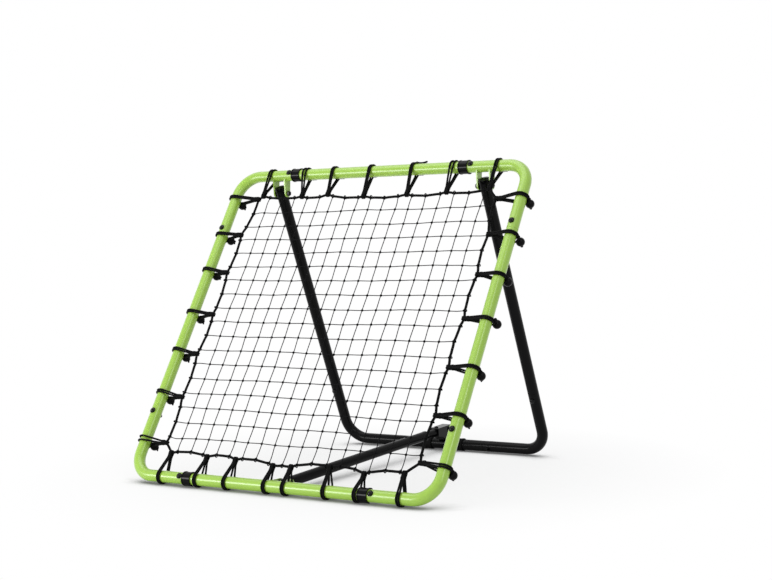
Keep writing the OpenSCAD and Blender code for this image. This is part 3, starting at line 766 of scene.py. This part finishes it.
def floor():
    """A sheet of white paper. It takes the part's shadow nearby and fades to the white background farther out, and
    its glowing white carries painted contact shade, darker close to what stands on it."""
    mesh = bpy.data.meshes.new("floor")
    far = 12
    mesh.from_pydata([(-far, -far, 0), (far, -far, 0), (far, far, 0), (-far, far, 0)], [], [(0, 1, 2, 3)])
    o = bpy.data.objects.new("floor", mesh)
    bpy.context.scene.collection.objects.link(o)
    f = Finish("floor_paper", Specular_IOR_Level=0.1)
    f.set("Base_Color", f.mix(f.range(f.noise(3.0, 3.0), 0.3, 0.7, 0.0, 1.0),
                              rgba(0.945, 0.945, 0.945), rgba(0.955, 0.955, 0.955)))
    f.set("Roughness", f.range(f.noise(40.0, 3.0), 0.3, 0.7, 0.75, 0.85))
    # Painted contact shade: ambient occlusion dims the floor's glowing white near the part, on top of its real
    # shadow
    near = f.node("AmbientOcclusion", {"samples": 8}, Distance=0.085).outputs["AO"]
    white = f.node("Emission", Color=rgba(1.0, 1.0, 1.0), Strength=f.range(near, 0.45, 0.88, 0.12, 1.0))
    away = f.node("VectorMath", {"operation": "LENGTH"})
    f.t.links.new(f.coords.outputs["Object"], away.inputs[0])
    seen = background_rays(f.t)
    fade = f.math("MULTIPLY", f.range(away.outputs["Value"], 0.35, 1.0, 0.66, 1.0), seen)
    join = f.node("MixShader", Fac=fade)
    f.t.links.new(f.shader.outputs[0], join.inputs[1])
    f.t.links.new(white.outputs[0], join.inputs[2])
    f.t.links.new(join.outputs[0], f.t.nodes["Material Output"].inputs["Surface"])
    mesh.materials.append(f.m)


def background_rays(tree):
    """1 for the rays that show the background: the camera's, and those seen in gloss or through glass."""
    path = tree.nodes.new("ShaderNodeLightPath")
    total = path.outputs["Is Camera Ray"]
    for name in ("Is Glossy Ray", "Is Transmission Ray"):
        most = tree.nodes.new("ShaderNodeMath")
        most.operation = "MAXIMUM"
        tree.links.new(total, most.inputs[0])
        tree.links.new(path.outputs[name], most.inputs[1])
        total = most.outputs[0]
    return total


def lamp(name, place, target, size, power):
    data = bpy.data.lights.new(name, "AREA")
    data.shape = "RECTANGLE"
    data.size, data.size_y = size
    data.energy = power
    o = bpy.data.objects.new(name, data)
    bpy.context.scene.collection.objects.link(o)
    o.location = place
    o.rotation_mode = "QUATERNION"
    o.rotation_quaternion = (Vector(target) - Vector(place)).to_track_quat("-Z", "Y")


def sky():
    world = bpy.data.worlds.new("studio")
    bpy.context.scene.world = world
    world.use_nodes = True
    t = world.node_tree
    back = t.nodes["Background"]
    mix = t.nodes.new("ShaderNodeMix")
    mix.data_type = "RGBA"
    t.links.new(background_rays(t), mix.inputs[0])
    mix.inputs[6].default_value = (0.42, 0.425, 0.43, 1)
    mix.inputs[7].default_value = (1.0, 1.0, 1.0, 1)
    t.links.new(mix.outputs[2], back.inputs["Color"])
    back.inputs["Strength"].default_value = 1.0


camera()
floor()
sky()
lamp("front", (-1.9, -3.0, 0.62), (0, 0, 0.45), (1.8, 0.95), 56)
lamp("side", (3.0, -1.9, 2.75), (0, 0.2, 0.5), (0.42, 2.3), 27)
lamp("over", (-0.4, -0.4, 3.4), (0, 0, 0), (3.0, 3.0), 46)
bpy.context.scene.view_settings.view_transform = "Standard"
